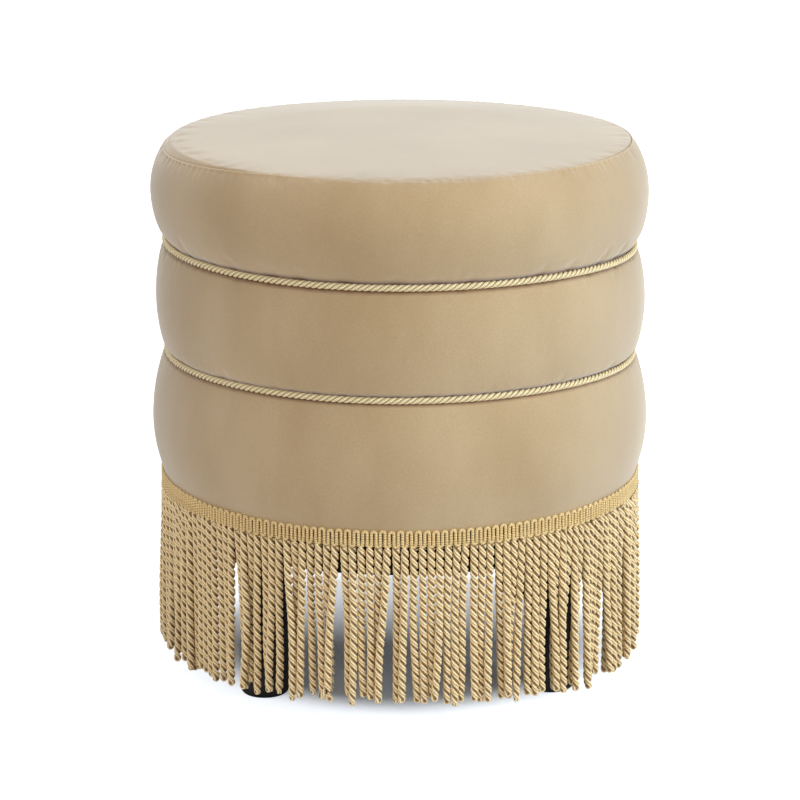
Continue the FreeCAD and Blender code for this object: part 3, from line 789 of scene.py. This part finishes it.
def make_seat_panel():
    """The round velvet panel of the seat, drawn down into its seam."""
    angle = angles_round(COLUMNS)
    skin = turned_skin(shoulder_line(), SEAM_AT + seam_shift(angle), 0 * angle)
    settled = settle("seat_skin", skin, SEAT_SWELL)
    ease = np.clip(SEAT_EASE * (1 - crowded()), 0, 1) ** 2
    skin = skin + (settled - skin) * ease[..., None]
    row_from_seam = np.arange(BAND_ROWS)
    skin = gathers(skin, low=0.05 * MM, high=0)
    skin = puckers(skin, row_from_seam, depth=0.08 * MM)
    skin = tucked(skin, row_from_seam, bead=0.0, depth=0.35 * MM)
    middle = [ring_point(radius, angle, seat_height(radius))[None] for radius in SEAT_RINGS]
    rim = skin[:1] - RIM_THICKNESS * UP
    under = [ring_point(radius, angle, PANEL_BOTTOM)[None] for radius in (SEAT_RINGS[-1], PANEL_INSIDE)]
    points = np.concatenate(under + [rim * RIM_INSIDE, rim, skin] + middle)
    rows = len(points)
    poles = np.array([[0, 0, SEAT_TOP], [0, 0, PANEL_BOTTOM]])
    around_top = (rows - 1) * COLUMNS + np.arange(COLUMNS)
    around_bottom = np.arange(COLUMNS)
    top = np.full(COLUMNS, rows * COLUMNS)
    cap = np.stack([around_top, np.roll(around_top, -1), top], axis=1)
    cup = np.stack([np.roll(around_bottom, -1), around_bottom, top + 1], axis=1)
    points = np.concatenate([sag(points).reshape(-1, 3), poles])
    face_sets = [grid_faces(rows, COLUMNS), cap, cup]
    # The seat panel gets neither the painted shade of a groove nor the painted highlight of the seam.
    away = np.tile([1.0, 0.0], (sum(faces.size for faces in face_sets), 1))
    mesh = fill_mesh("velvet_seat_panel", points, face_sets, away)
    panel = place("velvet_seat_panel", mesh, VELVET, "velvet", "cover_top_panel")


# Cords in the grooves.
STRANDS = 3
STRAND_RADIUS = 1.56 * MM
STRAND_RING = 1.6 * MM
STRAND_SIDES = 12
STRAND_YARNS = 6
STRAND_STRETCH = 1.15  # a strand's length for one of cord
CORD_TURNS = 78
CORD_STEPS = CORD_TURNS * 14


def make_cord(name, height):
    """A three-strand cord laid round in a groove, its strands rising to the right."""
    angle = angles_round(CORD_STEPS)
    axis = sag(ring_point(CORD_RING, angle, height))
    out = ring_point(1.0, angle, 0.0)
    section = yarn_section(STRAND_SIDES, STRAND_YARNS, STRAND_RADIUS, flat=1.0, depth=0.06)
    tubes = []
    for strand in range(STRANDS):
        twist = (CORD_TURNS * angle + strand * TAU / STRANDS)[:, None]
        offset = np.cos(twist) * out + np.sin(twist) * UP
        tubes.append(sweep(axis + STRAND_RING * offset, offset, section, closed=True))
    mesh = ring_tubes("twisted_" + name, tubes, TAU * CORD_RING * STRAND_STRETCH)
    place("twisted_" + name, mesh, CORD_YARN, "cord_yarn", name)


# The fringe's header.
GIMP_RADIUS = 1.5 * MM
GIMP_RING = HEADER_OUTSIDE - GIMP_RADIUS + 0.2 * MM
GIMP_SIDES = 8
LOOP_HALF = 2.04 * MM
LOOP_DIP = 1.0 * MM
LOOP_LENGTH = 36 * MM  # of gimp in one loop
LOOP_WIDTH_SPREAD = 0.03
LOOP_TOP_SPREAD = 0.22 * MM
LOOP_TOP_REACH = 8 * MM
THREAD_RADIUS = 0.27 * MM
THREAD_SIDES = 6
THREAD_ROWS = (1.4 * MM, 3.4 * MM, 5.4 * MM)
THREAD_STEPS = ROPE_COUNT * 12
THREAD_OUT = 1.02 * MM
THREAD_WAVE = 0.25 * MM
TAPE_COLUMNS = 720
TAPE_BACK = HEM_RADIUS + 0.15 * MM
TAPE_THICKNESS = 0.7 * MM
TAPE_BOTTOM = HEADER_BOTTOM + 0.3 * MM
TAPE_TOP = HEADER_TOP - 3.2 * MM
TAPE_RIB = 0.12 * MM
TAPE_LENGTH = 32 * MM


def loop_line():
    """Sideways place and height of one loop of the gimp and the turn to the next, open at its end."""
    pitch = GIMP_RING * ROPE_STEP
    turn_half = pitch / 2 - LOOP_HALF
    top = HEADER_TOP - GIMP_RADIUS - LOOP_HALF
    bottom = HEADER_BOTTOM + GIMP_RADIUS + turn_half - LOOP_DIP
    swing = np.linspace(0, math.pi, 9)
    over = np.stack([-LOOP_HALF * np.cos(swing), top + LOOP_HALF * np.sin(swing)], axis=1)
    under = np.stack([pitch / 2 - turn_half * np.cos(swing), bottom - turn_half * np.sin(swing)], axis=1)
    up = np.linspace((-LOOP_HALF, bottom), (-LOOP_HALF, top), 8)[1:-1]
    down = np.linspace((LOOP_HALF, top), (LOOP_HALF, bottom), 8)[1:-1]
    return np.concatenate([up, over, down, under])


def make_gimp():
    """The header's gimp: one covered cord laid up and down round the hem, 180 loops of it."""
    line = loop_line()
    angle = (np.arange(ROPE_COUNT) + 0.5)[:, None] * ROPE_STEP
    side = line[None, :, 0] * RANDOM.normal(1, LOOP_WIDTH_SPREAD, (ROPE_COUNT, 1))
    lift = RANDOM.normal(0, LOOP_TOP_SPREAD, (ROPE_COUNT, 1))
    height = line[None, :, 1] + lift * (line[None, :, 1] > HEADER_TOP - LOOP_TOP_REACH)
    turn = (angle + side / GIMP_RING).ravel()
    path = ring_point(GIMP_RING, turn, height.ravel())
    tube = sweep(path, ring_point(1.0, turn, 0.0), np.full(GIMP_SIDES, GIMP_RADIUS), closed=True)
    mesh = ring_tubes("gimp_loops", [tube], ROPE_COUNT * LOOP_LENGTH)
    place("gimp_loops", mesh, GIMP_YARN, "fringe_yarn", "fringe_header")


def make_header_threads():
    """The rows of binding thread, which rise over each leg of the gimp and dip between the legs."""
    angle = angles_round(THREAD_STEPS)
    legs = np.cos(ROPE_COUNT * 2 * (angle - ROPE_STEP / 2) + math.pi)
    over = GIMP_RING + THREAD_OUT + THREAD_WAVE * legs
    out = ring_point(1.0, angle, 0.0)
    paths = [ring_point(over, angle, HEADER_BOTTOM + rise) for rise in THREAD_ROWS]
    tubes = [sweep(path, out, np.full(THREAD_SIDES, THREAD_RADIUS), closed=True) for path in paths]
    mesh = ring_tubes("header_threads", tubes, TAU * GIMP_RING)
    place("header_threads", mesh, GIMP_YARN, "fringe_yarn")


def make_header_tape():
    """The woven tape that the loops are bound to."""
    angle = angles_round(TAPE_COLUMNS)
    front = TAPE_BACK + TAPE_THICKNESS
    ribs = TAPE_RIB * np.cos(angle * ROPE_COUNT)
    rows = []
    for i, height in enumerate(np.linspace(TAPE_BOTTOM, TAPE_TOP, 14)):
        rows.append(ring_point(front + ribs * (-1) ** i, angle, height))
    for height in (TAPE_TOP, TAPE_BOTTOM):
        rows.append(ring_point(TAPE_BACK, angle, height))
    mesh = ring_tubes("header_tape", [np.stack(rows)], TAPE_LENGTH)
    place("header_tape", mesh, TAPE_YARN, "fringe_yarn")


# The bullion fringe.
PLY_RING = 1.76 * MM
PLY_RADIUS = 2.06 * MM
PLY_FLAT = 1.12
PLY_SIDES = 20
PLY_YARNS = 4
YARN_DEPTH = 0.3
YARN_LENGTH = 0.31  # down one ply and up the other
ROPE_LEAD = 16.6 * MM
ROPE_TOP = HEADER_BOTTOM - 0.2 * MM
TURN_STEPS = 14
TIP_TAPER = 0.12
TAPER_FROM = 0.93
LOOP_STRETCH = 1.3
ROPE_WIDTH = 7.25 * MM  # how near the middles of two ropes may come
LEVELS = 24
ROPES_TOGETHER = 12
CLUMP_SIZES = [1, 2, 3, 4]
CLUMP_ODDS = [0.15, 0.4, 0.3, 0.15]
CLUMP_PULL = (0.4, 1.05)
CLUMP_LEAN = 0.2
WANDER = 1.25 * MM
OUT_SPREAD = 1.3 * MM
OUT_ALTERNATE = 2.6 * MM
OUT_LIMITS = (-4 * MM, 4.5 * MM)
OUT_AT_HEADER = 0.6 * MM
REST_ROUNDS = 80
ROPE_STIFFNESS = 14
LENGTH_SPREAD = 2.2 * MM
LONGER_LEFT = 10 * MM
LONGER_RIGHT = 18 * MM
LOWEST_END = 9 * MM


def clump_ropes():
    """How many rope spacings each rope's tip is pulled sideways, towards the middle of its clump."""
    pull = np.zeros(ROPE_COUNT)
    first = 0
    while first < ROPE_COUNT:
        size = int(RANDOM.choice(CLUMP_SIZES, p=CLUMP_ODDS))
        members = np.arange(first, min(first + size, ROPE_COUNT))
        pull[members] = (members.mean() - members) * RANDOM.uniform(*CLUMP_PULL)
        pull[members] += RANDOM.normal(0, CLUMP_LEAN)
        first += size
    return pull


def stiffened(line):
    """The ropes' places with each level between the ends drawn a little towards its neighbours."""
    between = (line[:, :-2] + ROPE_STIFFNESS * line[:, 1:-1] + line[:, 2:]) / (ROPE_STIFFNESS + 2)
    return np.concatenate([line[:, :1], between, line[:, -1:]], axis=1)


def hang_ropes():
    """How far sideways and outwards each rope's middle lies at each level, once the ropes rest."""
    level = np.linspace(0, 1, LEVELS)[None, :]
    pitch = ROPE_RING * ROPE_STEP
    side = (clump_ropes() * pitch)[:, None] * level ** 0.9
    for waves in (1, 2, 3):
        swing = RANDOM.normal(0, WANDER / waves, (ROPE_COUNT, 1))
        side = side + swing * np.sin(waves * math.pi * level)
    alternate = (-1.0) ** np.arange(ROPE_COUNT) * RANDOM.uniform(0.2, 1, ROPE_COUNT)
    out = RANDOM.normal(0, OUT_SPREAD, ROPE_COUNT) + OUT_ALTERNATE * alternate
    out = out[:, None] * level ** 0.8
    for _ in range(REST_ROUNDS):
        for step in (1, 2):
            gap = np.roll(side, -step, axis=0) + step * pitch - side
            depth = np.roll(out, -step, axis=0) - out + 1e-6
            apart = np.hypot(gap, depth)
            push = np.clip(ROPE_WIDTH - apart, 0, None) / 2
            side = side - push * gap / apart + np.roll(push * gap / apart, step, axis=0)
            out = out - push * depth / apart + np.roll(push * depth / apart, step, axis=0)
        out = np.clip(out, *OUT_LIMITS)
        side[:, 0] = 0
        out[:, 0] = np.clip(out[:, 0], -OUT_AT_HEADER, OUT_AT_HEADER)
        side = stiffened(side)
        out = stiffened(out)
    return side, out


def rope_strands(angles, side, out, lengths, phases):
    """The yarn path of each rope: down one ply, round the loop at its tip and up the other ply."""
    turns = (HEADER_BOTTOM - ROPE_TIP) / ROPE_LEAD
    part = np.linspace(0, 1, int(turns * TURN_STEPS))
    level = np.linspace(0, 1, LEVELS)
    outward = ring_point(1.0, angles, 0.0)[:, None]
    sideways = ring_point(1.0, angles + math.pi / 2, 0.0)[:, None]
    side = np.stack([np.interp(part, level, row) for row in side])[..., None]
    out = np.stack([np.interp(part, level, row) for row in out])[..., None]
    drop = (part * lengths[:, None])[..., None]
    axis = (ROPE_RING + out) * outward + side * sideways + (ROPE_TOP - drop) * UP
    twist = (phases[:, None] + TAU * turns * part)[..., None]
    offset = np.cos(twist) * outward + np.sin(twist) * sideways
    taper = 1 - TIP_TAPER * np.clip((part - TAPER_FROM) / (1 - TAPER_FROM), 0, 1)
    ply = PLY_RING * taper[:, None] * offset
    swing = np.linspace(0, math.pi, 9)[1:-1, None]
    over = np.cos(swing) * offset[:, -1:]
    loop = axis[:, -1:] + PLY_RING * taper[-1] * (over - LOOP_STRETCH * np.sin(swing) * UP)
    path = np.concatenate([axis + ply, loop, (axis - ply)[:, ::-1]], axis=1)
    across = np.concatenate([offset, over - np.sin(swing) * UP, -offset[:, ::-1]], axis=1)
    return path, across


def make_fringe():
    """180 ropes of two plies under the header, in pieces of a dozen."""
    side, out = hang_ropes()
    angles = np.arange(ROPE_COUNT) * ROPE_STEP
    lengths = RANDOM.normal(0, LENGTH_SPREAD, ROPE_COUNT)
    lengths += HEADER_BOTTOM - ROPE_TIP - PLY_RING - PLY_RADIUS
    lengths += LONGER_LEFT * around(angles, 207, 36)
    lengths += LONGER_RIGHT * around(angles, -22, 52)
    lengths = np.minimum(lengths, HEADER_BOTTOM - LOWEST_END)
    phases = RANDOM.uniform(0, TAU, ROPE_COUNT)
    path, across = rope_strands(angles, side, out, lengths, phases)
    section = yarn_section(PLY_SIDES, PLY_YARNS, PLY_RADIUS, PLY_FLAT, YARN_DEPTH)
    rows = path.shape[1]
    size = rows * PLY_SIDES
    faces = grid_faces(rows, PLY_SIDES)
    wraps = grid_wrap(rows, PLY_SIDES, YARN_LENGTH)
    ends = np.stack([np.arange(PLY_SIDES)[::-1], size - PLY_SIDES + np.arange(PLY_SIDES)])
    for group in range(ROPE_COUNT // ROPES_TOGETHER):
        chosen = slice(group * ROPES_TOGETHER, (group + 1) * ROPES_TOGETHER)
        points = sweep(path[chosen], across[chosen], section).reshape(-1, 3)
        shift = (np.arange(ROPES_TOGETHER) * size)[:, None, None]
        walls = (faces[None] + shift).reshape(-1, 4)
        caps = (ends[None] + shift).reshape(-1, PLY_SIDES)
        wrap = np.concatenate([np.tile(wraps, (ROPES_TOGETHER, 1)), np.zeros((caps.size, 2))])
        name = "rope_group_%02d" % (group + 1)
        mesh = fill_mesh(name, points, [walls, caps], wrap)
        replaced = ["fringe_ropes"] if group == 0 else []
        place(name, mesh, FRINGE_YARN, "fringe_yarn", *replaced)


# Legs.
LEG_COLUMNS = 72
FOOT_ROUNDING = 4.5 * MM
SIDES_FROM = 12 * MM
TOP_EDGE = (0.8 * MM, 1.5 * MM)


def make_leg(node):
    """A turned leg whose foot is rounded over and whose top edge is broken."""
    low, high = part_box(node)
    middle = (low + high) / 2
    radius = (high[0] - low[0]) / 2
    swing = np.linspace(0, math.pi / 2, 8)
    foot_radius = radius - FOOT_ROUNDING * (1 - np.sin(swing))
    foot = np.stack([foot_radius, FOOT_ROUNDING * (1 - np.cos(swing))], axis=1)
    sides = np.linspace((radius, SIDES_FROM), (radius, high[2] - TOP_EDGE[1]), 10)
    top = [(radius - TOP_EDGE[0], high[2]), (radius * 0.5, high[2])]
    line = np.concatenate([[(radius * 0.5, 0), (radius * 0.8, 0)], foot, sides, top])
    angle = angles_round(LEG_COLUMNS)
    points = ring_point(line[:, :1], angle[None], line[:, 1:]) + np.array([middle[0], middle[1], 0])
    rows = len(line)
    around_top = (rows - 1) * LEG_COLUMNS + np.arange(LEG_COLUMNS)
    caps = np.stack([np.arange(LEG_COLUMNS)[::-1], around_top])
    mesh = fill_mesh("turned_" + node, points.reshape(-1, 3), [grid_faces(rows, LEG_COLUMNS), caps])
    place("turned_" + node, mesh, FINISHES["black_paint"], "black_paint", node)


# The stage.
FLOOR_RADIUS = 14
FLOOR_GLOW = 0.85
PAINTED_BACK_GLOW = 0.6
PAINTED_SHADOW_GLOW = 0.03
SKY = 0.47
AIM = (0, 0, 0.3)


def rising(material, source, socket, start, end, low, high):
    """A value that rises softly from low to high as another goes from start to end."""
    node = add_node(material, "ShaderNodeMapRange", interpolation_type="SMOOTHSTEP")
    for name, value in zip(("From Min", "From Max", "To Min", "To Max"), (start, end, low, high)):
        node.inputs[name].default_value = value
    link(material, source, socket, node, "Value")
    return node


def floor_material():
    """Pale grey that glows white to the eye; the glow fades to a painted shadow under the object and
    rises again under its back half as painted back light.
    """
    material = bpy.data.materials.new("floor")
    material.use_nodes = True
    material.node_tree.nodes.clear()
    ground = add_node(material, "ShaderNodeTexCoord")
    away = add_node(material, "ShaderNodeVectorMath", operation="LENGTH")
    link(material, ground, "Object", away, 0)
    split = add_node(material, "ShaderNodeSeparateXYZ")
    link(material, ground, "Object", split, 0)
    # Painted shadow: the glow fades almost to nothing under the object; the diffuse part keeps the real
    # shadow.
    glow_with_painted_shadow = rising(material, away, "Value", start=0.15, end=0.205, low=PAINTED_SHADOW_GLOW, high=FLOOR_GLOW)
    # Painted back light: the glow rises towards the back, as if light came in under the fringe from
    # behind.
    behind = rising(material, split, "Y", start=-0.04, end=0.17, low=0.0, high=PAINTED_BACK_GLOW)
    brighter = add_node(material, "ShaderNodeMath", operation="MAXIMUM")
    link(material, glow_with_painted_shadow, "Result", brighter, 0)
    link(material, behind, "Result", brighter, 1)
    seen = add_node(material, "ShaderNodeLightPath")
    strength = add_node(material, "ShaderNodeMath", operation="MULTIPLY")
    link(material, seen, "Is Camera Ray", strength, 0)
    link(material, brighter, "Value", strength, 1)
    glow = add_node(material, "ShaderNodeEmission", Color=(0.9, 0.94, 1.0, 1))
    link(material, strength, "Value", glow, "Strength")
    diffuse = add_node(material, "ShaderNodeBsdfDiffuse", Color=(0.82, 0.82, 0.83, 1))
    both = add_node(material, "ShaderNodeAddShader")
    link(material, diffuse, "BSDF", both, 0)
    link(material, glow, "Emission", both, 1)
    output = add_node(material, "ShaderNodeOutputMaterial")
    link(material, both, "Shader", output, "Surface")
    return material


def make_floor():
    """A round floor under the object."""
    bpy.ops.mesh.primitive_circle_add(vertices=96, radius=FLOOR_RADIUS, fill_type="NGON")
    floor = bpy.context.object
    floor.name = "floor"
    floor.data.materials.append(floor_material())


def make_world():
    """A white background to the eye and in reflections, and a soft even light on everything."""
    world = bpy.data.worlds.new("studio")
    SCENE.world = world
    world.use_nodes = True
    world.node_tree.nodes.clear()
    soft = add_node(world, "ShaderNodeBackground", Color=(0.95, 0.97, 1.0, 1), Strength=SKY)
    white = add_node(world, "ShaderNodeBackground", Color=(1, 1, 1, 1))
    path = add_node(world, "ShaderNodeLightPath")
    seen = add_node(world, "ShaderNodeMath", operation="MAXIMUM")
    link(world, path, "Is Camera Ray", seen, 0)
    link(world, path, "Is Glossy Ray", seen, 1)
    any_seen = add_node(world, "ShaderNodeMath", operation="MAXIMUM")
    link(world, seen, "Value", any_seen, 0)
    link(world, path, "Is Transmission Ray", any_seen, 1)
    mix = add_node(world, "ShaderNodeMixShader")
    link(world, any_seen, "Value", mix, "Fac")
    link(world, soft, "Background", mix, 1)
    link(world, white, "Background", mix, 2)
    output = add_node(world, "ShaderNodeOutputWorld")
    link(world, mix, "Shader", output, "Surface")


def make_lamp(name, at, size, power, aim=AIM, colour=(1, 1, 1)):
    """A soft box that faces a point."""
    data = bpy.data.lights.new(name, "AREA")
    data.shape = "RECTANGLE"
    data.size, data.size_y = size
    data.energy = power
    data.color = colour
    lamp = bpy.data.objects.new(name, data)
    SCENE.collection.objects.link(lamp)
    lamp.location = at
    lamp.rotation_euler = (Vector(aim) - Vector(at)).to_track_quat("-Z", "Y").to_euler()


def make_camera():
    """The camera of the photograph."""
    data = bpy.data.cameras.new("camera")
    data.sensor_width = 36
    data.lens = 141.5
    data.clip_end = 50
    camera = bpy.data.objects.new("camera", data)
    SCENE.collection.objects.link(camera)
    camera.location = (-0.154, -2.843, 1.023)
    camera.rotation_euler = (math.radians(74.6), 0, math.radians(-3.1))
    SCENE.camera = camera


finish_nodes()
make_upper_band()
make_middle_band()
make_lower_band()
make_seat_panel()
make_cord("upper_cord", UPPER_CORD)
make_cord("lower_cord", LOWER_CORD)
make_gimp()
make_header_threads()
make_header_tape()
make_fringe()
for leg in ("leg_front_left", "leg_front_right", "leg_rear_left", "leg_rear_right"):
    make_leg(leg)
for pad in ("seat_foam", "upper_roll_foam", "middle_roll_foam", "lower_roll_foam"):
    make_foam(pad)
make_floor()
make_world()
make_lamp("key", at=(0.9, -0.6, 2.4), size=(1.6, 1.6), power=25)
make_lamp("side", at=(2.2, -1.3, 1.0), size=(1.1, 1.6), power=38, colour=(0.7, 0.87, 1.0))
make_lamp("fill", at=(-1.8, -2.2, 1.1), size=(1.6, 1.6), power=16)
make_lamp("back", at=(0.2, 2.6, 0.7), size=(2.4, 1.0), power=14, aim=(0, 0, 0.1))
make_camera()
SCENE.view_settings.view_transform = "Standard"
